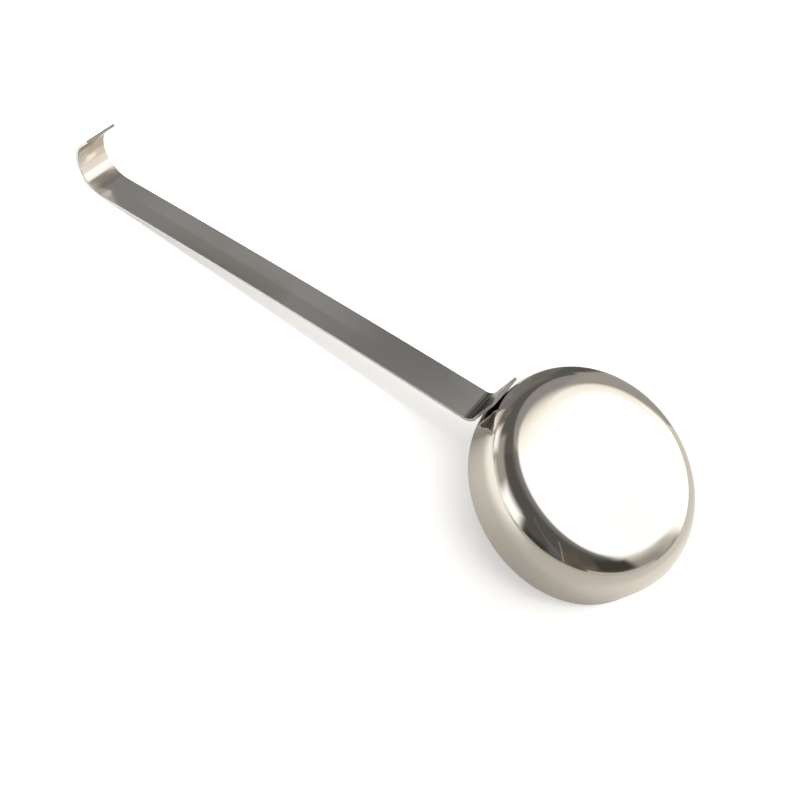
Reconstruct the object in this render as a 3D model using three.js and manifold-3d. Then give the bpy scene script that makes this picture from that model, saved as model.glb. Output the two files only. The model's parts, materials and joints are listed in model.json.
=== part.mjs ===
// Portion control ladle: a pressed flat-bottomed bowl with one bent strip welded to its wall as the handle.
// Sizes are in millimetres. The ladle is shaped upright, with its mouth up and the rim's top at z = 0, and is
// then laid mouth down as it lies on a table, on the far side of its rim and the back of its hook.
import * as THREE from 'three';
import { mergeVertices } from 'three/addons/utils/BufferGeometryUtils.js';
import Module from 'manifold-3d';

// Bowl
const RIM_RADIUS = 51.5;
const BOWL_HEIGHT = 33.5;
const CORNER_RADIUS = 20.6;
const SHEET = 1.0;
const BOWL_SEGMENTS = 120;

// Strip
const STRIP_WIDTH = 19.2;
const HOOK_WIDTH = 18.1;
const STRIP_THICKNESS = 1.4;
const STRIP_EDGE = 0.3;
const TAB_BELOW_RIM = 15.7;
const BEND_ABOVE_RIM = 4.6;
const BEND_RADIUS = 5;
const RISE_DEG = 21.9;
const SHANK_LENGTH = 215.2;
const SHANK_BOW_DEG = 2.35;
const HOOK_RADIUS = 14.2;
const HOOK_TURN_DEG = 135.3;
const HOOK_TIP = 7.8;

// Spot welds
const NUGGET_RADIUS = 2.5;
const NUGGET_THICKNESS = 0.6;
const NUGGET_PITCH = 7;
const FIT_GAP = 0.3;

const radians = THREE.MathUtils.degToRad;
const wasm = await Module();
wasm.setup();

// Steps along an arc, both ends included, as angles in radians.
function arcSteps(from, to, count) {
  return Array.from({ length: count + 1 }, (_, i) => from + ((to - from) * i) / count);
}

// Points of an arc of a profile.
function arc(centreX, centreY, radius, fromDeg, toDeg, count) {
  return arcSteps(radians(fromDeg), radians(toDeg), count).map(
    (a) => new THREE.Vector2(centreX + radius * Math.cos(a), centreY + radius * Math.sin(a)),
  );
}

function welded(geometry) {
  const bare = geometry.clone();
  bare.deleteAttribute('normal');
  bare.deleteAttribute('uv');
  return mergeVertices(bare, 1e-4);
}

function toSolid(geometry) {
  const shell = welded(geometry);
  const vertProperties = new Float32Array(shell.attributes.position.array);
  const triVerts = new Uint32Array(shell.index.array);
  return new wasm.Manifold(new wasm.Mesh({ numProp: 3, vertProperties, triVerts }));
}

function toGeometry(solid) {
  const mesh = solid.getMesh();
  const geometry = new THREE.BufferGeometry();
  geometry.setAttribute('position', new THREE.BufferAttribute(new Float32Array(mesh.vertProperties), 3));
  geometry.setIndex(new THREE.BufferAttribute(new Uint32Array(mesh.triVerts), 1));
  return geometry;
}

// The bowl is turned from one closed outline: flat base, rounded corner, plain wall and a rim rounded over.
const cornerX = RIM_RADIUS - CORNER_RADIUS;
const cornerY = CORNER_RADIUS - BOWL_HEIGHT;
const rimRound = SHEET / 2;

function bowlGeometry() {
  const outline = [
    new THREE.Vector2(0, -BOWL_HEIGHT),
    ...arc(cornerX, cornerY, CORNER_RADIUS, -90, 0, 12),
    ...arc(RIM_RADIUS - rimRound, -rimRound, rimRound, 0, 180, 6),
    ...arc(cornerX, cornerY, CORNER_RADIUS - SHEET, 0, -90, 12),
    new THREE.Vector2(0, SHEET - BOWL_HEIGHT),
  ];
  return welded(new THREE.LatheGeometry(outline, BOWL_SEGMENTS).rotateX(Math.PI / 2));
}

// The strip is followed along its outer face: up the wall, out over the rim bend, along the slightly bowed
// shank and round the hook. Each stop gives a point on that face and one a thickness away on the other face.
const tabFaceX = RIM_RADIUS + FIT_GAP;
const bendTurn = 90 - RISE_DEG;
const bendRun = BEND_RADIUS * Math.tan(radians(bendTurn / 2));
const stripRuns = [
  { straight: TAB_BELOW_RIM + BEND_ABOVE_RIM - bendRun },
  { radius: BEND_RADIUS, turnDeg: -bendTurn, stops: 10 },
  { radius: SHANK_LENGTH / radians(SHANK_BOW_DEG), turnDeg: SHANK_BOW_DEG, stops: 12 },
  { radius: HOOK_RADIUS, turnDeg: -HOOK_TURN_DEG, stops: 26 },
  { straight: HOOK_TIP },
];

function followStrip() {
  const outer = [];
  const inner = [];
  const centres = [];
  const at = new THREE.Vector2(tabFaceX + STRIP_THICKNESS, -TAB_BELOW_RIM);
  let heading = Math.PI / 2;
  const leftOf = (angle) => new THREE.Vector2(-Math.sin(angle), Math.cos(angle));
  const mark = () => {
    outer.push(at.clone());
    inner.push(at.clone().addScaledVector(leftOf(heading), STRIP_THICKNESS));
  };
  mark();
  for (const run of stripRuns) {
    if (run.straight) {
      at.x += run.straight * Math.cos(heading);
      at.y += run.straight * Math.sin(heading);
      mark();
      continue;
    }
    const turn = radians(run.turnDeg);
    const side = Math.sign(turn);
    const centre = at.clone().addScaledVector(leftOf(heading), side * run.radius);
    centres.push(centre);
    for (const angle of arcSteps(heading, heading + turn, run.stops).slice(1)) {
      heading = angle;
      at.copy(centre).addScaledVector(leftOf(heading), -side * run.radius);
      mark();
    }
  }
  return { outline: [...outer, ...inner.reverse()], hookCentre: centres.at(-1) };
}

const strip = followStrip();

function nuggetHeights() {
  const middle = -TAB_BELOW_RIM / 2;
  return { upper: middle + NUGGET_PITCH / 2, lower: middle - NUGGET_PITCH / 2 };
}

// The strip narrows evenly from the tab to the hook.
function narrow(geometry) {
  const place = geometry.attributes.position;
  for (let i = 0; i < place.count; i += 1) {
    const along = (place.getX(i) - tabFaceX) / (strip.hookCentre.x - tabFaceX);
    const share = THREE.MathUtils.lerp(1, HOOK_WIDTH / STRIP_WIDTH, along);
    place.setY(i, place.getY(i) * share);
  }
}

// A disc lying against the tab, from the tab's wall side outward.
function disc(radius, thickness, height) {
  const geometry = new THREE.CylinderGeometry(radius, radius, thickness, 32);
  geometry.rotateZ(Math.PI / 2);
  return geometry.translate(tabFaceX + thickness / 2, 0, height);
}

function handleGeometry() {
  const blank = new THREE.ExtrudeGeometry(new THREE.Shape(strip.outline), {
    depth: STRIP_WIDTH - 2 * STRIP_EDGE,
    bevelEnabled: true,
    bevelThickness: STRIP_EDGE,
    bevelSize: STRIP_EDGE,
    bevelOffset: -STRIP_EDGE,
    bevelSegments: 2,
  });
  blank.translate(0, 0, STRIP_EDGE - STRIP_WIDTH / 2).rotateX(Math.PI / 2);
  narrow(blank);
  let solid = toSolid(blank);
  for (const height of Object.values(nuggetHeights())) {
    const recess = disc(NUGGET_RADIUS + FIT_GAP, NUGGET_THICKNESS + FIT_GAP, height);
    solid = solid.subtract(toSolid(recess));
  }
  return toGeometry(solid);
}

function nuggetGeometry(height) {
  return welded(disc(NUGGET_RADIUS, NUGGET_THICKNESS, height));
}

// The table's plane touches the rounded rim on its far side and the back of the hook.
function lyingPose() {
  const rimX = rimRound - RIM_RADIUS;
  const reach = new THREE.Vector2(strip.hookCentre.x - rimX, strip.hookCentre.y + rimRound);
  const hookBack = HOOK_RADIUS + STRIP_THICKNESS;
  const tilt = Math.atan2(reach.y, reach.x) + Math.asin((hookBack - rimRound) / reach.length());
  const mouthDown = new THREE.Matrix4().makeRotationX(Math.PI);
  return new THREE.Matrix4().makeRotationY(-tilt).multiply(mouthDown);
}

function steel(color, roughness) {
  return new THREE.MeshStandardMaterial({ color, roughness, metalness: 1 });
}

const polished = 0xc6c2ba;
const heights = nuggetHeights();
const pieces = [
  ['bowl', bowlGeometry(), steel(polished, 0.12)],
  ['handle', handleGeometry(), steel(0x9c9891, 0.2)],
  ['weld_nugget_upper', nuggetGeometry(heights.upper), steel(0x7d7973, 0.5)],
  ['weld_nugget_lower', nuggetGeometry(heights.lower), steel(0x7d7973, 0.5)],
];

const ladle = new THREE.Group();
ladle.name = 'portion_control_ladle';
const pose = lyingPose();
for (const [name, geometry, material] of pieces) {
  geometry.applyMatrix4(pose);
  geometry.computeVertexNormals();
  const mesh = new THREE.Mesh(geometry, material);
  mesh.name = name;
  ladle.add(mesh);
}

// The origin is on the table, under the middle of the ladle's length and width.
const box = new THREE.Box3().setFromObject(ladle);
const middle = box.getCenter(new THREE.Vector3());
for (const mesh of ladle.children) {
  mesh.geometry.translate(-middle.x, -middle.y, -box.min.z);
}

export default ladle;
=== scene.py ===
import json
import math

import bmesh
import bpy
from mathutils import Matrix, Quaternion, Vector, kdtree


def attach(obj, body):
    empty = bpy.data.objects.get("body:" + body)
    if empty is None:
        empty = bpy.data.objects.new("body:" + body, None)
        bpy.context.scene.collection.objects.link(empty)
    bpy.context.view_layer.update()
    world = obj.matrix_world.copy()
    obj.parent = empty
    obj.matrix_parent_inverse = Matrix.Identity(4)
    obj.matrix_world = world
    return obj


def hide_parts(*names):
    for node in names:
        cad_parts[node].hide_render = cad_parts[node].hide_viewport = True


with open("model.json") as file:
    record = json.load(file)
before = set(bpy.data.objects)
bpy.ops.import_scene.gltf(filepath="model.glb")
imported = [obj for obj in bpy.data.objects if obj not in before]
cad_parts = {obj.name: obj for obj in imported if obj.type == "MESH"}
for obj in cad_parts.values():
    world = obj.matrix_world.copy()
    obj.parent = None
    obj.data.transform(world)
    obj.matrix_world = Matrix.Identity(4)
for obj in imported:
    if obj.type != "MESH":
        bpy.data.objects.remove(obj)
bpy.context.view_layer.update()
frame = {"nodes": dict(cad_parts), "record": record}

MM = 0.001
MICRON = 0.001 * MM

# Bowl, in millimetres, upright with its mouth up and the rim's top at z = 0
RIM_RADIUS = 51.5
BOWL_HEIGHT = 33.5
CORNER_RADIUS = 20.6
SHEET = 1.0
RIM_WEAR_DEPTH = 1.2

# Strip
STRIP_WIDTH = 19.2
HOOK_WIDTH = 18.1
STRIP_THICKNESS = 1.4
STRIP_EDGE = 0.3
LEAST_EDGE = 0.02
TAB_BELOW_RIM = 15.7
BEND_ABOVE_RIM = 4.6
BEND_RADIUS = 5.0
RISE_DEG = 21.9
SHANK_LENGTH = 215.2
SHANK_BOW_DEG = 2.35
HOOK_RADIUS = 14.2
HOOK_TURN_DEG = 135.3
HOOK_TIP = 7.8

# Spot welds
NUGGET_RADIUS = 2.5
NUGGET_THICKNESS = 0.6
NUGGET_PITCH = 7.0
FIT_GAP = 0.3
NUGGET_HEIGHTS = [side * NUGGET_PITCH / 2 - TAB_BELOW_RIM / 2 for side in (1, -1)]

# Mesh steps of the bowl: round it, then along its base, corner, wall and rim
BOWL_TURNS = 240
BASE_STEPS, CORNER_STEPS, WALL_STEPS, RIM_STEPS = 16, 40, 8, 12
# Mesh steps of the strip: along its five runs, round its edges, across its faces and round a weld's recess
TAB_STEPS, BEND_STEPS, SHANK_STEPS, HOOK_STEPS, TIP_STEPS = 14, 30, 60, 64, 6
EDGE_STEPS, ACROSS_STEPS = 5, 10
RECESS_TURNS = 48

# Camera, in metres and degrees
CAMERA_AT = Vector((-0.13371, 0.29248, 0.41229))
CAMERA_AIM = Vector((-0.02857, 0.00405, 0.0))
CAMERA_ROLL_DEG = 19.16
CAMERA_FOCAL_PX = 1105.7
CAMERA_CLIP_START = 0.01
IMAGE_PX = 800.0
SENSOR_MM = 36.0

# Steel colours. The strip's colours from tab to hook hold painted shade, on the tab and by the bowl, and
# painted light, on a band along the shank and on the hook
BOWL_STEEL = (0.66, 0.625, 0.565, 1.0)
BOWL_WIPED = (0.56, 0.53, 0.485, 1.0)
BOWL_RUBBED = (0.72, 0.7, 0.66, 1.0)
# painted shade: the shank darker towards the bowl
SHANK_PAINTED_SHADE = (0.28, 0.278, 0.268, 1.0)
SHANK_STEEL = (0.51, 0.507, 0.484, 1.0)
# painted sheen: a lighter band along one side of the shank
SHANK_PAINTED_SHEEN = (0.59, 0.587, 0.56, 1.0)
# painted light: the hook lighter than the shank
HOOK_PAINTED_LIGHT = (0.64, 0.6, 0.54, 1.0)
STRIP_WIPED = (0.47, 0.455, 0.43, 1.0)
STRIP_RUBBED = (0.62, 0.61, 0.59, 1.0)
# painted shade: the tab darker than the rest of the strip
TAB_PAINTED_SHADE = (0.24, 0.232, 0.22, 1.0)
WELD_SPOT = (0.28, 0.26, 0.235, 1.0)
SHEARED_END = (0.28, 0.27, 0.26, 1.0)
NUGGET_LIGHT = (0.24, 0.225, 0.205, 1.0)
NUGGET_DARK = (0.15, 0.135, 0.12, 1.0)

# Roughness of the clean surface
BOWL_ROUGHNESS = 0.055
STRIP_ROUGHNESS = 0.14
NUGGET_ROUGHNESS = 0.5

# Where the strip's painted shade and painted light fade in and out, and where its sheared ends turn dull, in
# metres along it from the tab's end, and across it for the painted sheen's side
TAB_SHADE_FADE = (0.016, 0.011)
SHANK_SHADE_FADE = (0.03, 0.13)
SHEEN_START = (0.07, 0.13)
SHEEN_END = (0.235, 0.2)
SHEEN_SIDE = (-0.0015, 0.0005)
HOOK_LIGHT_FADE = (0.243, 0.249)
SHEARED_FADE = (0.00025, 0.00005)


def lying_pose():
    """Upright ladle to lying ladle, from the flat base's place and direction in the record."""
    base = next(m for m in frame["record"]["mounts"] if m["name"] == "base")
    mouth = -Vector(base["axis"]).normalized()
    across = Vector((0.0, -1.0, 0.0))
    along = across.cross(mouth).normalized()
    rim_centre = Vector(base["pos_m"]) + mouth * (BOWL_HEIGHT * MM)
    turn = Matrix((along, across, mouth)).transposed().to_4x4()
    return Matrix.Translation(rim_centre) @ turn


LYING = lying_pose()
LYING_TURN = LYING.to_3x3()


def spread(start, stop, steps):
    """Even values from start to stop, both included."""
    return [start + (stop - start) * i / steps for i in range(steps + 1)]


def new_piece(name, points, normals, faces, maps, edge):
    """A smooth mesh object whose shading normals are the true ones of the surface."""
    mesh = bpy.data.meshes.new(name)
    mesh.from_pydata([LYING @ (Vector(p) * MM) for p in points], [], faces)
    layer = mesh.uv_layers.new(name="finish")
    for polygon, corners in zip(mesh.polygons, maps):
        for loop, place in zip(polygon.loop_indices, corners):
            layer.uv[loop].vector = place
    worn = mesh.attributes.new("edge", "FLOAT", "POINT")
    worn.data.foreach_set("value", edge)
    mesh.polygons.foreach_set("use_smooth", [True] * len(mesh.polygons))
    mesh.normals_split_custom_set_from_vertices([LYING_TURN @ Vector(n) for n in normals])
    mesh.update()
    piece = bpy.data.objects.new(name, mesh)
    bpy.context.scene.collection.objects.link(piece)
    return piece


def bowl_outline():
    """From the middle of the base, over the rim, to the middle inside: radius, height and normal."""
    corner_r = RIM_RADIUS - CORNER_RADIUS
    corner_z = CORNER_RADIUS - BOWL_HEIGHT
    rim = SHEET / 2
    inner = CORNER_RADIUS - SHEET
    stops = [(r, -BOWL_HEIGHT, 0.0, -1.0) for r in spread(0.0, corner_r, BASE_STEPS)]
    for a in spread(-math.pi / 2, 0.0, CORNER_STEPS)[1:]:
        c, s = math.cos(a), math.sin(a)
        stops.append((corner_r + CORNER_RADIUS * c, corner_z + CORNER_RADIUS * s, c, s))
    stops += [(RIM_RADIUS, z, 1.0, 0.0) for z in spread(corner_z, -rim, WALL_STEPS)[1:]]
    for a in spread(0.0, math.pi, RIM_STEPS)[1:]:
        c, s = math.cos(a), math.sin(a)
        stops.append((RIM_RADIUS - rim + rim * c, -rim + rim * s, c, s))
    stops += [(RIM_RADIUS - SHEET, z, -1.0, 0.0) for z in spread(-rim, corner_z, WALL_STEPS)[1:]]
    for a in spread(0.0, -math.pi / 2, CORNER_STEPS)[1:]:
        c, s = math.cos(a), math.sin(a)
        stops.append((corner_r + inner * c, corner_z + inner * s, -c, -s))
    stops += [(r, SHEET - BOWL_HEIGHT, 0.0, 1.0) for r in spread(corner_r, 0.0, BASE_STEPS)[1:]]
    return stops


def make_bowl():
    outline = bowl_outline()
    points, normals, edge, rows, run = [], [], [], [], [0.0]
    for (r0, z0, _, _), (r1, z1, _, _) in zip(outline, outline[1:]):
        run.append(run[-1] + math.hypot(r1 - r0, z1 - z0))
    for r, z, nr, nz in outline:
        turns = BOWL_TURNS if r > 1e-6 else 1
        rows.append(range(len(points), len(points) + turns))
        for k in range(turns):
            a = 2 * math.pi * k / BOWL_TURNS
            points.append((r * math.cos(a), r * math.sin(a), z))
            normals.append((nr * math.cos(a), nr * math.sin(a), nz))
            edge.append(max(0.0, 1.0 + z / RIM_WEAR_DEPTH))
    faces, maps = [], []
    for i, (low, high) in enumerate(zip(rows, rows[1:])):
        for k in range(BOWL_TURNS):
            n = (k + 1) % BOWL_TURNS
            u0, u1 = k / BOWL_TURNS, (k + 1) / BOWL_TURNS
            v0, v1 = run[i] * MM, run[i + 1] * MM
            if len(low) == 1:
                faces.append((low[0], high[n], high[k]))
                maps.append(((u0, v0), (u1, v1), (u0, v1)))
            elif len(high) == 1:
                faces.append((low[k], low[n], high[0]))
                maps.append(((u0, v0), (u1, v0), (u0, v1)))
            else:
                faces.append((low[k], low[n], high[n], high[k]))
                maps.append(((u0, v0), (u1, v0), (u1, v1), (u0, v1)))
    return new_piece("bowl_pressing", points, normals, faces, maps, edge)


def strip_stops():
    """Places along the strip's outer face, from the tab's end to the hook's tip: x, z, heading, length run.

    With them comes the x of the hook's centre.
    """
    turn_deg = 90.0 - RISE_DEG
    bend_run = BEND_RADIUS * math.tan(math.radians(turn_deg / 2))
    runs = [
        (TAB_BELOW_RIM + BEND_ABOVE_RIM - bend_run, None, TAB_STEPS),
        (BEND_RADIUS, -turn_deg, BEND_STEPS),
        (SHANK_LENGTH / math.radians(SHANK_BOW_DEG), SHANK_BOW_DEG, SHANK_STEPS),
        (HOOK_RADIUS, -HOOK_TURN_DEG, HOOK_STEPS),
        (HOOK_TIP, None, TIP_STEPS),
    ]
    x, z = RIM_RADIUS + FIT_GAP + STRIP_THICKNESS, -TAB_BELOW_RIM
    heading, length = math.pi / 2, 0.0
    stops, centre_x = [(x, z, heading, length)], x
    for size, turn, count in runs:
        if turn is None:
            for _ in range(count):
                x += size / count * math.cos(heading)
                z += size / count * math.sin(heading)
                length += size / count
                stops.append((x, z, heading, length))
            continue
        angle = math.radians(turn)
        side = math.copysign(1.0, angle)
        cx, cz = x - side * size * math.sin(heading), z + side * size * math.cos(heading)
        start, centre_x = heading, cx
        for k in range(1, count + 1):
            heading = start + angle * k / count
            x, z = cx + side * size * math.sin(heading), cz - side * size * math.cos(heading)
            length += abs(angle) / count * size
            stops.append((x, z, heading, length))
    return stops, centre_x


def strip_section(inset=0.0):
    """The strip's rounded cut section, drawn in by inset: across, depth below the outer face, normal."""
    half = STRIP_WIDTH / 2 - inset
    low, high = inset, STRIP_THICKNESS - inset
    e = max(STRIP_EDGE - inset, LEAST_EDGE)
    corners = (
        (half - e, high - e, 0), (e - half, high - e, 90), (e - half, low + e, 180), (half - e, low + e, 270),
    )
    ring = []
    for across, depth, start in corners:
        for a in spread(math.radians(start), math.radians(start + 90), EDGE_STEPS):
            ring.append((across + e * math.cos(a), depth + e * math.sin(a), math.cos(a), math.sin(a)))
        if start in (0, 180):
            edge_y, normal = ring[-1][0], ring[-1][3]
            ring += [(edge_y * f, ring[-1][1], 0.0, normal) for f in spread(1.0, -1.0, ACROSS_STEPS)[1:-1]]
    return ring


def make_handle():
    stops, hook_x = strip_stops()
    tab_x = RIM_RADIUS + FIT_GAP
    plain = strip_section()
    tab, tip = stops[0], stops[-1]
    sections = []
    rounding = spread(0.0, math.pi / 2, EDGE_STEPS)
    for a in reversed(rounding[1:]):
        sections.append((tab, STRIP_EDGE * (1 - math.sin(a)), STRIP_EDGE * (1 - math.cos(a)), -math.sin(a)))
    for stop in stops:
        at_end = stop is tab or stop is tip
        sections.append((stop, (STRIP_EDGE if stop is tab else -STRIP_EDGE) if at_end else 0.0, 0.0, 0.0))
    for a in rounding[1:]:
        sections.append((tip, -STRIP_EDGE * (1 - math.sin(a)), STRIP_EDGE * (1 - math.cos(a)), math.sin(a)))
    points, normals, edge, place = [], [], [], []
    count = len(plain)
    for (x, z, heading, length), shift, inset, lean in sections:
        ux, uz = math.cos(heading), math.sin(heading)
        lx, lz = -uz, ux
        flat = math.sqrt(max(0.0, 1.0 - lean * lean))
        for (y, d, ny, nd) in strip_section(inset) if inset else plain:
            at_x = x + ux * shift + lx * d
            y *= 1.0 + (HOOK_WIDTH / STRIP_WIDTH - 1.0) * (at_x - tab_x) / (hook_x - tab_x)
            points.append((at_x, y, z + uz * shift + lz * d))
            normals.append((ux * lean + lx * nd * flat, ny * flat, uz * lean + lz * nd * flat))
            edge.append(min(1.0, abs(ny) + abs(lean)))
            place.append(((length + shift) * MM, y * MM))
    faces = []
    for i in range(len(sections) - 1):
        a, b = i * count, (i + 1) * count
        for k in range(count):
            n = (k + 1) % count
            faces.append((a + k, a + n, b + n, b + k))
    last = (len(sections) - 1) * count
    faces.append(tuple(range(count - 1, -1, -1)))
    faces.append(tuple(range(last, last + count)))
    maps = [[place[v] for v in face] for face in faces]
    return new_piece("handle_strip", points, normals, faces, maps, edge)


def cut_recesses(strip):
    """Cuts the blind round recess of each weld nugget into the tab's wall side, and shades it flat."""
    mesh = strip.data
    known = kdtree.KDTree(len(mesh.vertices))
    for vertex in mesh.vertices:
        known.insert(vertex.co, vertex.index)
    known.balance()
    smooth = [Vector()] * len(mesh.vertices)
    for loop in mesh.loops:
        smooth[loop.vertex_index] = loop.normal.copy()

    radius = NUGGET_RADIUS + FIT_GAP
    depth = NUGGET_THICKNESS + FIT_GAP
    face_x = RIM_RADIUS + FIT_GAP
    cutters = []
    for height in NUGGET_HEIGHTS:
        shape = bmesh.new()
        bmesh.ops.create_cone(
            shape, cap_ends=True, segments=RECESS_TURNS, radius1=radius, radius2=radius, depth=2 * depth,
            matrix=Matrix.Translation((face_x, 0.0, height)) @ Matrix.Rotation(math.pi / 2, 4, "Y"),
        )
        cutter = bpy.data.objects.new("recess_cutter", bpy.data.meshes.new("recess_cutter"))
        shape.to_mesh(cutter.data)
        shape.free()
        cutter.data.transform(LYING @ Matrix.Scale(MM, 4))
        bpy.context.scene.collection.objects.link(cutter)
        cut = strip.modifiers.new("recess", "BOOLEAN")
        cut.operation = "DIFFERENCE"
        cut.solver = "EXACT"
        cut.object = cutter
        cutters.append(cutter)
    graph = bpy.context.evaluated_depsgraph_get()
    strip.data = bpy.data.meshes.new_from_object(strip.evaluated_get(graph))
    strip.modifiers.clear()
    for cutter in cutters:
        bpy.data.meshes.remove(cutter.data)

    upright = LYING.inverted()
    slack, on_face = 0.05, 0.01
    normals = []
    for polygon in strip.data.polygons:
        place = (upright @ polygon.center) / MM
        nearest = min(math.hypot(place.y, place.z - height) for height in NUGGET_HEIGHTS)
        in_recess = nearest < radius + slack and on_face < place.x - face_x < depth + slack
        for loop in polygon.loop_indices:
            vertex = strip.data.vertices[strip.data.loops[loop].vertex_index]
            normals.append(polygon.normal.copy() if in_recess else smooth[known.find(vertex.co)[1]])
    strip.data.normals_split_custom_set(normals)


def make_stage_plane(name, corners):
    """A flat piece of the studio."""
    mesh = bpy.data.meshes.new(name)
    mesh.from_pydata(corners, [], [tuple(range(len(corners)))])
    plane = bpy.data.objects.new(name, mesh)
    bpy.context.scene.collection.objects.link(plane)
    return plane


def make_camera():
    data = bpy.data.cameras.new("camera")
    data.sensor_fit = "HORIZONTAL"
    data.sensor_width = SENSOR_MM
    data.lens = CAMERA_FOCAL_PX * SENSOR_MM / IMAGE_PX
    data.clip_start = CAMERA_CLIP_START
    camera = bpy.data.objects.new("camera", data)
    aim = (CAMERA_AIM - CAMERA_AT).to_track_quat("-Z", "Y")
    camera.rotation_mode = "QUATERNION"
    camera.rotation_quaternion = aim @ Quaternion((0, 0, 1), math.radians(CAMERA_ROLL_DEG))
    camera.location = CAMERA_AT
    bpy.context.scene.collection.objects.link(camera)
    bpy.context.scene.camera = camera


class Nodes:
    """Short ways to add and join the nodes of one tree."""

    def __init__(self, tree):
        self.tree = tree
        self.tree.nodes.clear()

    def add(self, kind, **settings):
        node = self.tree.nodes.new(kind)
        for key, value in settings.items():
            setattr(node, key, value)
        return node

    def join(self, start, end):
        self.tree.links.new(start, end)

    def put(self, socket, value):
        if isinstance(value, bpy.types.NodeSocket):
            self.join(value, socket)
        else:
            socket.default_value = value

    def math(self, operation, *values):
        node = self.add("ShaderNodeMath", operation=operation)
        for socket, value in zip(node.inputs, values):
            self.put(socket, value)
        return node.outputs[0]

    def total(self, *values):
        result = values[0]
        for value in values[1:]:
            result = self.math("ADD", result, value)
        return result

    def ease(self, value, low, high, to_low=0.0, to_high=1.0):
        node = self.add("ShaderNodeMapRange", interpolation_type="SMOOTHSTEP")
        for socket, given in zip(node.inputs, (value, low, high, to_low, to_high)):
            self.put(socket, given)
        return node.outputs[0]

    def mix_colour(self, factor, first, second):
        node = self.add("ShaderNodeMix", data_type="RGBA")
        self.put(node.inputs["Factor"], factor)
        self.put(node.inputs[6], first)
        self.put(node.inputs[7], second)
        return node.outputs[2]

    def mix_shader(self, factor, first, second):
        node = self.add("ShaderNodeMixShader")
        for socket, start in zip(node.inputs, (factor, first.outputs[0], second.outputs[0])):
            self.join(start, socket)
        return node

    def vector(self, *parts):
        node = self.add("ShaderNodeCombineXYZ")
        for socket, part in zip(node.inputs, parts):
            self.put(socket, part)
        return node.outputs[0]

    def parts(self, vector):
        node = self.add("ShaderNodeSeparateXYZ")
        self.join(vector, node.inputs[0])
        return node.outputs

    def noise(self, place, scale, detail=3.0):
        node = self.add("ShaderNodeTexNoise")
        for name, value in (("Vector", place), ("Scale", scale), ("Detail", detail)):
            self.put(node.inputs[name], value)
        return node.outputs["Fac"]

    def group(self, tree, **values):
        node = self.add("ShaderNodeGroup", node_tree=tree)
        for name, value in values.items():
            self.put(node.inputs[name.replace("_", " ").title()], value)
        return node.outputs

    def glow(self, colour):
        node = self.add("ShaderNodeEmission")
        self.put(node.inputs["Color"], colour)
        return node

    def close(self, shader):
        self.join(shader.outputs[0], self.add("ShaderNodeOutputMaterial").inputs["Surface"])


def new_group(name, inputs, outputs):
    """An empty node group with named sockets: its nodes, what it is given and what it gives back."""
    tree = bpy.data.node_groups.new(name, "ShaderNodeTree")
    for label in inputs:
        kind = "NodeSocketVector" if label == "Place" else "NodeSocketFloat"
        tree.interface.new_socket(label, in_out="INPUT", socket_type=kind)
    for label in outputs:
        tree.interface.new_socket(label, in_out="OUTPUT", socket_type="NodeSocketFloat")
    n = Nodes(tree)
    return tree, n, n.add("NodeGroupInput").outputs, n.add("NodeGroupOutput").inputs


def light_panel_group():
    """How far a direction lies inside a soft-edged panel, given in degrees round and above the horizon."""
    inputs = ("Round", "Above", "Middle", "Half Width", "Low", "High", "Softness", "Lean")
    tree, n, given, result = new_group("light_panel", inputs, ("Mask",))
    turn = n.math("WRAP", n.math("SUBTRACT", given["Round"], given["Middle"]), 180.0, -180.0)
    inside = n.math("SUBTRACT", given["Half Width"], n.math("ABSOLUTE", turn))
    level = n.math("SUBTRACT", given["Above"], n.math("MULTIPLY", given["Lean"], turn))
    over = n.math("SUBTRACT", level, given["Low"])
    under = n.math("SUBTRACT", given["High"], level)
    least = n.math("MINIMUM", n.math("MINIMUM", over, under), inside)
    soft = n.math("MULTIPLY", given["Softness"], -1.0)
    n.join(n.ease(least, soft, given["Softness"]), result["Mask"])
    return tree


def polish_grain_group():
    """Fine polishing lines along whichever way the given place is drawn out."""
    tree, n, given, result = new_group("polish_grain", ("Place", "Scale", "Amount"), ("Shift", "Height"))
    lines = n.noise(given["Place"], given["Scale"], 4.0)
    n.join(n.math("MULTIPLY", n.math("SUBTRACT", lines, 0.5), given["Amount"]), result["Shift"])
    n.join(lines, result["Height"])
    return tree


def handling_marks_group():
    """Patches left by wiping and by fingers, broken up finely."""
    patch_from, patch_full, finer = 0.5, 0.72, 14.0
    tree, n, given, result = new_group("handling_marks", ("Place", "Scale", "Amount"), ("Mask",))
    patches = n.ease(n.noise(given["Place"], given["Scale"], 2.0), patch_from, patch_full)
    fine = n.noise(given["Place"], n.math("MULTIPLY", given["Scale"], finer), 3.0)
    n.join(n.math("MULTIPLY", n.math("MULTIPLY", patches, fine), given["Amount"]), result["Mask"])
    return tree


def edge_wear_group():
    """Where a cut or rounded edge is rubbed bright, a little unevenly."""
    rub_from, rub_full, unevenness = 0.3, 0.9, 0.5
    tree, n, given, result = new_group("edge_wear", ("Edge", "Place", "Scale", "Amount"), ("Mask",))
    blotches = n.math("SUBTRACT", n.noise(given["Place"], given["Scale"]), 0.5)
    uneven = n.math("MULTIPLY", blotches, unevenness)
    rubbed = n.ease(n.math("ADD", given["Edge"], uneven), rub_from, rub_full)
    n.join(n.math("MULTIPLY", rubbed, given["Amount"]), result["Mask"])
    return tree


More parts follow.
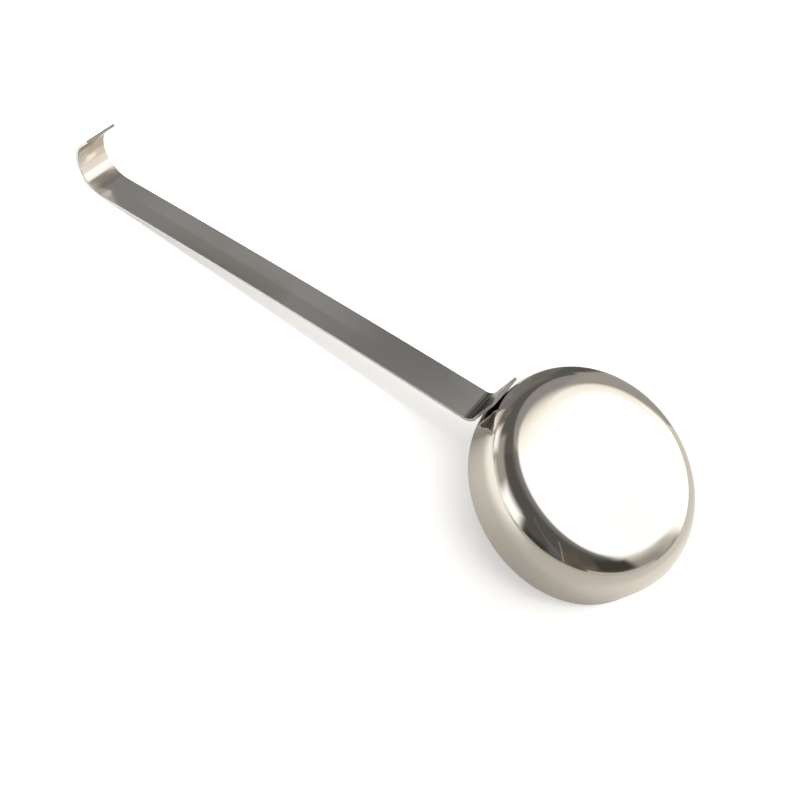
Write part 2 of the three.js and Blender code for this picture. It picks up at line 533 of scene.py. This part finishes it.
# Studio round the ladle, seen in the steel: middle, half width, low, high and softness in degrees, how much
# the panel's low and high edges rise with each degree round, then its colour. Later panels cover earlier
# ones.
ROOM_COLOUR = (0.125, 0.122, 0.116, 1.0)
LIGHT_PANELS = (
    # ceiling
    (0.0, 200.0, 66.0, 120.0, 5.0, 0.0, (1.5, 1.48, 1.43, 1.0)),
    # grey walls and dark low panels on the far side of the shank
    (-46.0, 60.0, -30.0, 64.0, 6.0, 0.0, (0.4, 0.385, 0.38, 1.0)),
    (-92.0, 17.0, -30.0, 60.0, 5.0, 0.0, (0.47, 0.455, 0.43, 1.0)),
    (-100.0, 22.0, 20.0, 80.0, 7.0, 1.2, (1.25, 1.22, 1.16, 1.0)),
    (-26.0, 46.0, -60.0, 31.0, 2.5, 0.45, (0.15, 0.147, 0.14, 1.0)),
    (-33.0, 24.0, -30.0, 9.0, 6.0, 0.0, (0.23, 0.225, 0.215, 1.0)),
    # light end wall behind the bowl
    (-162.0, 19.0, -30.0, 60.0, 7.0, 0.0, (0.43, 0.415, 0.39, 1.0)),
    (-156.0, 24.0, 24.0, 80.0, 12.0, 0.0, (1.2, 1.17, 1.1, 1.0)),
    (-142.0, 10.0, 6.0, 62.0, 9.0, 0.0, (0.78, 0.755, 0.71, 1.0)),
    (-124.5, 18.0, -30.0, 62.0, 5.0, 0.0, (1.75, 1.73, 1.72, 1.0)),
    # low bright screens on the hook's side, and the camera's side with its brown and blue patches
    (38.0, 36.0, -30.0, 25.0, 4.0, 0.0, (0.48, 0.46, 0.43, 1.0)),
    (3.0, 9.0, -30.0, 9.0, 6.0, 0.0, (1.54, 1.56, 1.6, 1.0)),
    (34.0, 14.0, -30.0, 4.0, 4.0, 0.0, (0.93, 0.93, 0.92, 1.0)),
    (60.0, 15.0, -30.0, 19.0, 7.0, 0.0, (1.62, 1.65, 1.72, 1.0)),
    (95.0, 12.0, -30.0, 9.0, 5.0, 0.0, (0.06, 0.058, 0.055, 1.0)),
    (130.0, 9.0, 6.0, 24.0, 5.0, 0.7, (0.17, 0.135, 0.11, 1.0)),
    (148.0, 10.0, 2.0, 12.0, 4.0, 0.3, (0.2, 0.155, 0.12, 1.0)),
    (114.0, 6.0, 2.0, 20.0, 4.0, -0.5, (0.15, 0.157, 0.17, 1.0)),
    (168.0, 15.0, 5.0, 25.0, 4.0, 0.0, (0.07, 0.067, 0.06, 1.0)),
    (170.0, 27.0, -30.0, 3.0, 1.5, 0.0, (0.72, 0.7, 0.66, 1.0)),
    # two thin lines
    (112.0, 22.0, 16.0, 16.8, 0.5, -1.0, (0.4, 0.39, 0.37, 1.0)),
    (122.0, 0.5, 0.0, 34.0, 0.4, 0.0, (0.45, 0.43, 0.4, 1.0)),
)

# Softbox over the ladle, in metres: an oval, wider towards its far and left sides, fading slantwise to cream
# and then to nothing on the handle's side, with a faint rim round it. Reach, rim end and softness are shares
# of the oval.
SOFTBOX_AT = Vector((-0.27, -0.12, 0.42))
SOFTBOX_LEFT, SOFTBOX_RIGHT = 0.56, 0.49
SOFTBOX_NEAR, SOFTBOX_FAR = 0.39, 0.78
SOFTBOX_REACH = 1.45
SOFTBOX_SLANT = Vector((0.814, -0.581))
SOFTBOX_FADE_FROM, SOFTBOX_FADE_TO = 0.08, 0.38
SOFTBOX_CREAM_FROM, SOFTBOX_CREAM_TO = -0.04, 0.14
SOFTBOX_SOFTNESS, SOFTBOX_FAR_SOFTNESS = 0.07, 0.14
SOFTBOX_COLOUR = (1.64, 1.66, 1.77, 1.0)
SOFTBOX_CREAM = (1.44, 1.42, 1.34, 1.0)
SOFTBOX_RIM, SOFTBOX_RIM_END = 0.13, 1.4

# Grey sheet on the floor beside the bowl, which only the steel shows, a painted reflection that glows darker
# than the floor.
# Its middle and height over the floor, then direction in degrees, near and far edge in metres
SHEET_AT = Vector((-0.117, 0.0))
SHEET_LIFT = 0.0005
SHEET_EDGES = (
    (-106, 0.122, 2.3), (-98, 0.12, 2.3), (-90, 0.117, 2.3), (-82, 0.115, 2.3), (-75, 0.11, 2.3),
    (-68, 0.106, 2.3), (-60, 0.102, 2.3), (-52, 0.101, 2.3), (-45, 0.105, 2.3), (-38, 0.112, 2.3),
    (-30, 0.119, 1.2), (-26, 0.122, 0.3), (-22, 0.126, 0.2), (-8, 0.135, 0.16),
)
# Colour of the sheet from a direction on, and how softly it changes
SHEET_COLOURS = (
    (-106.0, (0.45, 0.435, 0.41, 1.0)), (-75.0, (0.13, 0.127, 0.12, 1.0)), (-60.0, (0.2, 0.195, 0.185, 1.0)),
    (-45.0, (0.24, 0.235, 0.225, 1.0)), (-30.0, (0.3, 0.29, 0.28, 1.0)),
)
SHEET_SOFT_DEG = 3.0

# Glowing card beside the shank that only the steel shows, a painted reflection: pale on the side that faces
# the hook and grey on the side that faces the bowl
CARD_AT = Vector((0.052, -0.062))
CARD_TURN = math.radians(31.0)
CARD_HALF = 0.03
CARD_TOP = 0.055
CARD_COLOUR = (1.22, 1.16, 1.08, 1.0)
CARD_BACK_COLOUR = (0.26, 0.255, 0.245, 1.0)

# Level glowing pieces that show only in the hook's steel, painted reflections: a painted shade over the hook,
# painted pools of light and a painted shadow on the floor before it. Name, colour, height, then corners, in
# metres
HOOK_PAINTED_REFLECTIONS = (
    ("hook_shade", (0.31, 0.283, 0.258, 1.0), 0.1,
     ((0.106, -0.071), (0.2, -0.071), (0.2, -0.046), (0.106, -0.046))),
    ("dim_light_pool", (0.98, 0.91, 0.81, 1.0), 0.0002,
     ((0.09, -0.055), (0.152, -0.026), (0.152, -0.004), (0.09, -0.025))),
    ("cream_light_pool", (1.52, 1.38, 1.2, 1.0), 0.0004,
     ((0.088, -0.046), (0.144, -0.019), (0.15, -0.01), (0.094, -0.032))),
    ("hook_floor_shadow", (0.72, 0.65, 0.57, 1.0), 0.0003,
     ((0.151, -0.03), (0.172, -0.022), (0.172, 0.0), (0.151, -0.004))),
)

# Lamps that light the floor: power in watts, colour, place, aim, beam in degrees and the beam's soft share
FLOOR_LAMPS = (
    ("side_lamp", 4.0, (1.0, 1.0, 1.0), (-0.35, 0.0, 0.3), (-0.195, -0.01, 0.0), 16.0, 0.6),
    ("front_lamp", 29.0, (0.87, 0.93, 1.0), (0.2, 0.2, 0.8), (0.2, 0.2, 0.0), 41.0, 0.35),
    ("far_lamp", 105.0, (0.87, 0.93, 1.0), (0.75, 0.7, 1.6), (0.75, 0.7, 0.0), 46.0, 0.4),
)
LAMP_RADIUS = 0.06

# Floor: half its side in metres, its colour, and how much the camera sees it lifted towards white
FLOOR_HALF = 1.6
FLOOR_COLOUR = (0.77, 0.738, 0.675, 1.0)
FLOOR_LIFT = 0.52


def make_world():
    world = bpy.data.worlds.new("studio")
    bpy.context.scene.world = world
    world.use_nodes = True
    n = Nodes(world.node_tree)
    way = n.parts(n.add("ShaderNodeTexCoord").outputs["Generated"])
    turn = n.math("DEGREES", n.math("ARCTAN2", way[1], way[0]))
    rise = n.math("DEGREES", n.math("ARCSINE", way[2]))
    panel = light_panel_group()
    colour = ROOM_COLOUR
    for middle, half, low, high, softness, lean, paint in LIGHT_PANELS:
        mask = n.group(
            panel, round=turn, above=rise, middle=middle, half_width=half,
            low=low, high=high, softness=softness, lean=lean,
        )["Mask"]
        colour = n.mix_colour(mask, colour, paint)
    room = n.add("ShaderNodeBackground")
    n.join(colour, room.inputs["Color"])
    white = n.add("ShaderNodeBackground")
    white.inputs["Color"].default_value = (1, 1, 1, 1)
    both = n.mix_shader(n.add("ShaderNodeLightPath").outputs["Is Camera Ray"], room, white)
    n.join(both.outputs[0], n.add("ShaderNodeOutputWorld").inputs["Surface"])


def new_material(name):
    material = bpy.data.materials.new(name)
    material.use_nodes = True
    return material, Nodes(material.node_tree)


def make_softbox():
    """A level oval of light over the bowl."""
    x, y, z = SOFTBOX_AT
    left, right = x - SOFTBOX_LEFT * SOFTBOX_REACH, x + SOFTBOX_RIGHT * SOFTBOX_REACH
    far, near = y - SOFTBOX_FAR * SOFTBOX_REACH, y + SOFTBOX_NEAR * SOFTBOX_REACH
    corners = [(left, far, z), (left, near, z), (right, near, z), (right, far, z)]
    softbox = make_stage_plane("softbox", corners)
    softbox.visible_camera = False
    softbox.visible_shadow = False
    material, n = new_material("softbox_cloth")
    place = n.parts(n.add("ShaderNodeTexCoord").outputs["Object"])
    off_x, off_y = n.math("SUBTRACT", place[0], x), n.math("SUBTRACT", place[1], y)
    aside = n.math("MAXIMUM", n.math("DIVIDE", off_x, SOFTBOX_LEFT), n.math("DIVIDE", off_x, SOFTBOX_RIGHT))
    ahead = n.math("MAXIMUM", n.math("DIVIDE", off_y, SOFTBOX_NEAR), n.math("DIVIDE", off_y, SOFTBOX_FAR))
    out = n.math("SQRT", n.math("ADD", n.math("POWER", aside, 2.0), n.math("POWER", ahead, 2.0)))
    soft = n.total(
        n.ease(ahead, -1.0, 0.0, SOFTBOX_FAR_SOFTNESS, 0.0),
        n.ease(aside, -1.0, -0.3, SOFTBOX_FAR_SOFTNESS, 0.0), SOFTBOX_SOFTNESS,
    )
    oval = n.ease(out, n.math("SUBTRACT", 1.0, soft), n.math("ADD", 1.0, soft), 1.0, 0.0)
    rim = n.math("MULTIPLY", n.ease(out, 1.0, SOFTBOX_RIM_END, 1.0, 0.0), SOFTBOX_RIM)
    slant = n.math(
        "ADD", n.math("MULTIPLY", place[0], SOFTBOX_SLANT.x), n.math("MULTIPLY", place[1], SOFTBOX_SLANT.y)
    )
    fade = n.ease(slant, SOFTBOX_FADE_FROM, SOFTBOX_FADE_TO, 1.0, 0.0)
    strength = n.math("MULTIPLY", n.math("MAXIMUM", oval, rim), fade)
    cream = n.ease(slant, SOFTBOX_CREAM_FROM, SOFTBOX_CREAM_TO)
    cloth = n.glow(n.mix_colour(cream, SOFTBOX_COLOUR, SOFTBOX_CREAM))
    n.close(n.mix_shader(strength, n.add("ShaderNodeBsdfTransparent"), cloth))
    softbox.data.materials.append(material)


def make_reflection_glow(name, corners):
    """A flat piece that shows in the steel and nowhere else: a painted reflection, which the caller fills
    with a glow. Gives back its material's nodes, still empty.
    """
    reflection_glow = make_stage_plane(name, corners)
    reflection_glow.visible_camera = False
    reflection_glow.visible_diffuse = False
    reflection_glow.visible_shadow = False
    material, n = new_material(name + "_paper")
    reflection_glow.data.materials.append(material)
    return n


def make_hook_card():
    """A glowing card beside the shank that only the steel shows, a painted reflection: pale in the hook, grey
    in the bowl.
    """
    across = Vector((-math.sin(CARD_TURN), math.cos(CARD_TURN))) * CARD_HALF
    near, far = CARD_AT - across, CARD_AT + across
    corners = [(near.x, near.y, 0), (far.x, far.y, 0), (far.x, far.y, CARD_TOP), (near.x, near.y, CARD_TOP)]
    n = make_reflection_glow("hook_card", corners)
    back = n.add("ShaderNodeNewGeometry").outputs["Backfacing"]
    n.close(n.glow(n.mix_colour(back, CARD_COLOUR, CARD_BACK_COLOUR)))


def make_hook_reflections():
    """A painted shade over the hook, and painted pools of light and a painted shadow on the floor before it,
    all seen only in the steel.
    """
    for name, paint, height, corners in HOOK_PAINTED_REFLECTIONS:
        n = make_reflection_glow(name, [(x, y, height) for x, y in corners])
        n.close(n.glow(paint))


def make_sheet():
    """The grey sheet, a painted reflection that glows and only the steel shows, in sectors of slightly
    different grey.
    """
    inner, outer = [], []
    for turn_deg, near, far in SHEET_EDGES:
        way = Vector((math.cos(math.radians(turn_deg)), math.sin(math.radians(turn_deg))))
        inner.append(SHEET_AT + way * near)
        outer.append(SHEET_AT + way * far)
    n = make_reflection_glow("grey_sheet", [(x, y, SHEET_LIFT) for x, y in inner + outer[::-1]])
    place = n.parts(n.add("ShaderNodeTexCoord").outputs["Object"])
    off_x, off_y = n.math("SUBTRACT", place[0], SHEET_AT.x), n.math("SUBTRACT", place[1], SHEET_AT.y)
    turn = n.math("DEGREES", n.math("ARCTAN2", off_y, off_x))
    colour = SHEET_COLOURS[0][1]
    for start, paint in SHEET_COLOURS[1:]:
        colour = n.mix_colour(n.ease(turn, start - SHEET_SOFT_DEG, start + SHEET_SOFT_DEG), colour, paint)
    n.close(n.glow(colour))


def make_floor_lamps():
    """Lamps that brighten the floor and do not show in the steel."""
    for name, power, tint, place, aim, beam, softness in FLOOR_LAMPS:
        data = bpy.data.lights.new(name, "SPOT")
        data.energy = power
        data.color = tint
        data.spot_size = math.radians(beam)
        data.spot_blend = softness
        data.shadow_soft_size = LAMP_RADIUS
        lamp = bpy.data.objects.new(name, data)
        lamp.location = place
        lamp.rotation_euler = (Vector(aim) - lamp.location).to_track_quat("-Z", "Y").to_euler()
        lamp.visible_camera = False
        lamp.visible_glossy = False
        bpy.context.scene.collection.objects.link(lamp)


def make_floor():
    r = FLOOR_HALF
    floor = make_stage_plane("floor", [(-r, -r, 0), (r, -r, 0), (r, r, 0), (-r, r, 0)])
    material, n = new_material("pale_floor")
    matt = n.add("ShaderNodeBsdfDiffuse")
    matt.inputs["Color"].default_value = FLOOR_COLOUR
    lift = n.add("ShaderNodeEmission")
    camera_ray = n.add("ShaderNodeLightPath").outputs["Is Camera Ray"]
    n.put(lift.inputs["Strength"], n.math("MULTIPLY", camera_ray, FLOOR_LIFT))
    both = n.add("ShaderNodeAddShader")
    n.join(matt.outputs[0], both.inputs[0])
    n.join(lift.outputs[0], both.inputs[1])
    n.close(both)
    floor.data.materials.append(material)


GRAIN = polish_grain_group()
MARKS = handling_marks_group()
WEAR = edge_wear_group()


def finish_steel(n, colour, roughness, height):
    """Closes a steel material: polished metal with the given colour, roughness and height in metres."""
    bump = n.add("ShaderNodeBump")
    bump.inputs["Distance"].default_value = 1.0
    n.join(height, bump.inputs["Height"])
    steel = n.add("ShaderNodeBsdfPrincipled")
    steel.inputs["Metallic"].default_value = 1.0
    n.join(colour, steel.inputs["Base Color"])
    n.join(roughness, steel.inputs["Roughness"])
    n.join(bump.outputs[0], steel.inputs["Normal"])
    n.close(steel)


def bowl_steel():
    """Mirror polish with turned rings: the grain runs round the bowl."""
    material, n = new_material("polished_bowl_steel")
    place = n.add("ShaderNodeTexCoord").outputs["Object"]
    finish = n.parts(n.add("ShaderNodeUVMap", uv_map="finish").outputs[0])
    turn = n.math("MULTIPLY", finish[0], 2 * math.pi)
    ring = 1.5 * MM
    round_x, round_y = n.math("COSINE", turn), n.math("SINE", turn)
    rings = n.vector(n.math("MULTIPLY", round_x, ring), n.math("MULTIPLY", round_y, ring), finish[1])
    grain = n.group(GRAIN, place=rings, scale=1400.0, amount=0.03)
    marks = n.group(MARKS, place=place, scale=26.0, amount=1.0)["Mask"]
    edge = n.add("ShaderNodeAttribute", attribute_name="edge").outputs["Fac"]
    wear = n.group(WEAR, edge=edge, place=place, scale=700.0, amount=0.7)["Mask"]
    colour = n.mix_colour(n.math("MULTIPLY", marks, 0.4), BOWL_STEEL, BOWL_WIPED)
    colour = n.mix_colour(wear, colour, BOWL_RUBBED)
    roughness = n.total(
        grain["Shift"], n.math("MULTIPLY", marks, 0.06), n.math("MULTIPLY", wear, 0.12), BOWL_ROUGHNESS
    )
    waves = n.math("MULTIPLY", n.noise(place, 40.0, 1.0), 12.0 * MICRON)
    height = n.math("ADD", n.math("MULTIPLY", grain["Height"], 0.4 * MICRON), waves)
    finish_steel(n, colour, roughness, height)
    return material


def strip_steel():
    """Belt polish along the strip, bright edges, dull sheared ends, and a round mark over each spot weld. Its
    colour holds painted shade, darker on the tab and towards the bowl, and painted light, lighter along a
    band on one side of the shank and on the hook.
    """
    material, n = new_material("polished_strip_steel")
    place = n.add("ShaderNodeTexCoord").outputs["Object"]
    finish = n.parts(n.add("ShaderNodeUVMap", uv_map="finish").outputs[0])
    along, across = finish[0], finish[1]
    drawn_out = n.vector(n.math("MULTIPLY", along, 0.015), across, 0.0)
    grain = n.group(GRAIN, place=drawn_out, scale=2600.0, amount=0.05)
    marks = n.group(MARKS, place=place, scale=34.0, amount=1.0)["Mask"]
    edge = n.add("ShaderNodeAttribute", attribute_name="edge").outputs["Fac"]
    wear = n.group(WEAR, edge=edge, place=place, scale=700.0, amount=1.0)["Mask"]
    spots = 0.0
    for height in NUGGET_HEIGHTS:
        off = n.math("SUBTRACT", along, (height + TAB_BELOW_RIM) * MM)
        away = n.math("SQRT", n.math("ADD", n.math("POWER", off, 2.0), n.math("POWER", across, 2.0)))
        spots = n.math("MAXIMUM", spots, n.ease(away, NUGGET_RADIUS * MM, 0.8 * NUGGET_RADIUS * MM))
    # mask of the painted shade over the tab, which also roughens it
    tab = n.ease(along, *TAB_SHADE_FADE)
    tip = strip_stops()[0][-1][3] * MM
    sheared = n.math(
        "ADD", n.ease(along, *SHEARED_FADE), n.ease(along, *[tip - inside for inside in SHEARED_FADE])
    )
    # painted sheen: a lighter band along one side of the shank
    painted_sheen = n.math(
        "MULTIPLY", n.ease(across, *SHEEN_SIDE),
        n.math("MULTIPLY", n.ease(along, *SHEEN_START), n.ease(along, *SHEEN_END)),
    )
    # painted shade: the shank darker towards the bowl
    colour = n.mix_colour(n.ease(along, *SHANK_SHADE_FADE), SHANK_PAINTED_SHADE, SHANK_STEEL)
    # painted sheen along one side of the shank
    colour = n.mix_colour(painted_sheen, colour, SHANK_PAINTED_SHEEN)
    # painted light on the hook
    colour = n.mix_colour(n.ease(along, *HOOK_LIGHT_FADE), colour, HOOK_PAINTED_LIGHT)
    colour = n.mix_colour(n.math("MULTIPLY", marks, 0.5), colour, STRIP_WIPED)
    colour = n.mix_colour(wear, colour, STRIP_RUBBED)
    # painted shade on the tab
    colour = n.mix_colour(n.math("MULTIPLY", tab, 0.8), colour, TAB_PAINTED_SHADE)
    colour = n.mix_colour(n.math("MULTIPLY", spots, 0.6), colour, WELD_SPOT)
    colour = n.mix_colour(sheared, colour, SHEARED_END)
    roughness = n.total(
        grain["Shift"], n.math("MULTIPLY", marks, 0.08), n.math("MULTIPLY", wear, 0.1),
        n.math("MULTIPLY", tab, 0.08), n.math("MULTIPLY", spots, 0.2), n.math("MULTIPLY", sheared, 0.25),
        STRIP_ROUGHNESS,
    )
    height = n.total(
        n.math("MULTIPLY", grain["Height"], 0.6 * MICRON),
        n.math("MULTIPLY", n.noise(place, 45.0, 1.0), 8.0 * MICRON),
        n.math("MULTIPLY", spots, -50.0 * MICRON),
    )
    finish_steel(n, colour, roughness, height)
    return material


def weld_metal():
    """Fused metal between tab and wall: dull and uneven."""
    material, n = new_material("weld_metal")
    place = n.add("ShaderNodeTexCoord").outputs["Object"]
    grain = n.group(GRAIN, place=place, scale=1800.0, amount=0.25)
    marks = n.group(MARKS, place=place, scale=500.0, amount=1.0)["Mask"]
    colour = n.mix_colour(marks, NUGGET_LIGHT, NUGGET_DARK)
    roughness = n.math("ADD", grain["Shift"], NUGGET_ROUGHNESS)
    finish_steel(n, colour, roughness, n.math("MULTIPLY", grain["Height"], 50.0 * MICRON))
    return material


def dress(piece, material, node):
    """Gives a piece its material, attaches it to the root body and hides the CAD node that it stands for."""
    piece.data.materials.clear()
    piece.data.materials.append(material)
    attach(piece, "root")
    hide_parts(node)


bpy.context.scene.view_settings.view_transform = "Standard"
make_camera()
make_world()
make_softbox()
make_hook_card()
make_hook_reflections()
make_sheet()
make_floor_lamps()
make_floor()

dress(make_bowl(), bowl_steel(), "bowl")
handle = make_handle()
cut_recesses(handle)
dress(handle, strip_steel(), "handle")
nugget_metal = weld_metal()
for nugget in ("weld_nugget_upper", "weld_nugget_lower"):
    frame["nodes"][nugget].data.materials[0] = nugget_metal
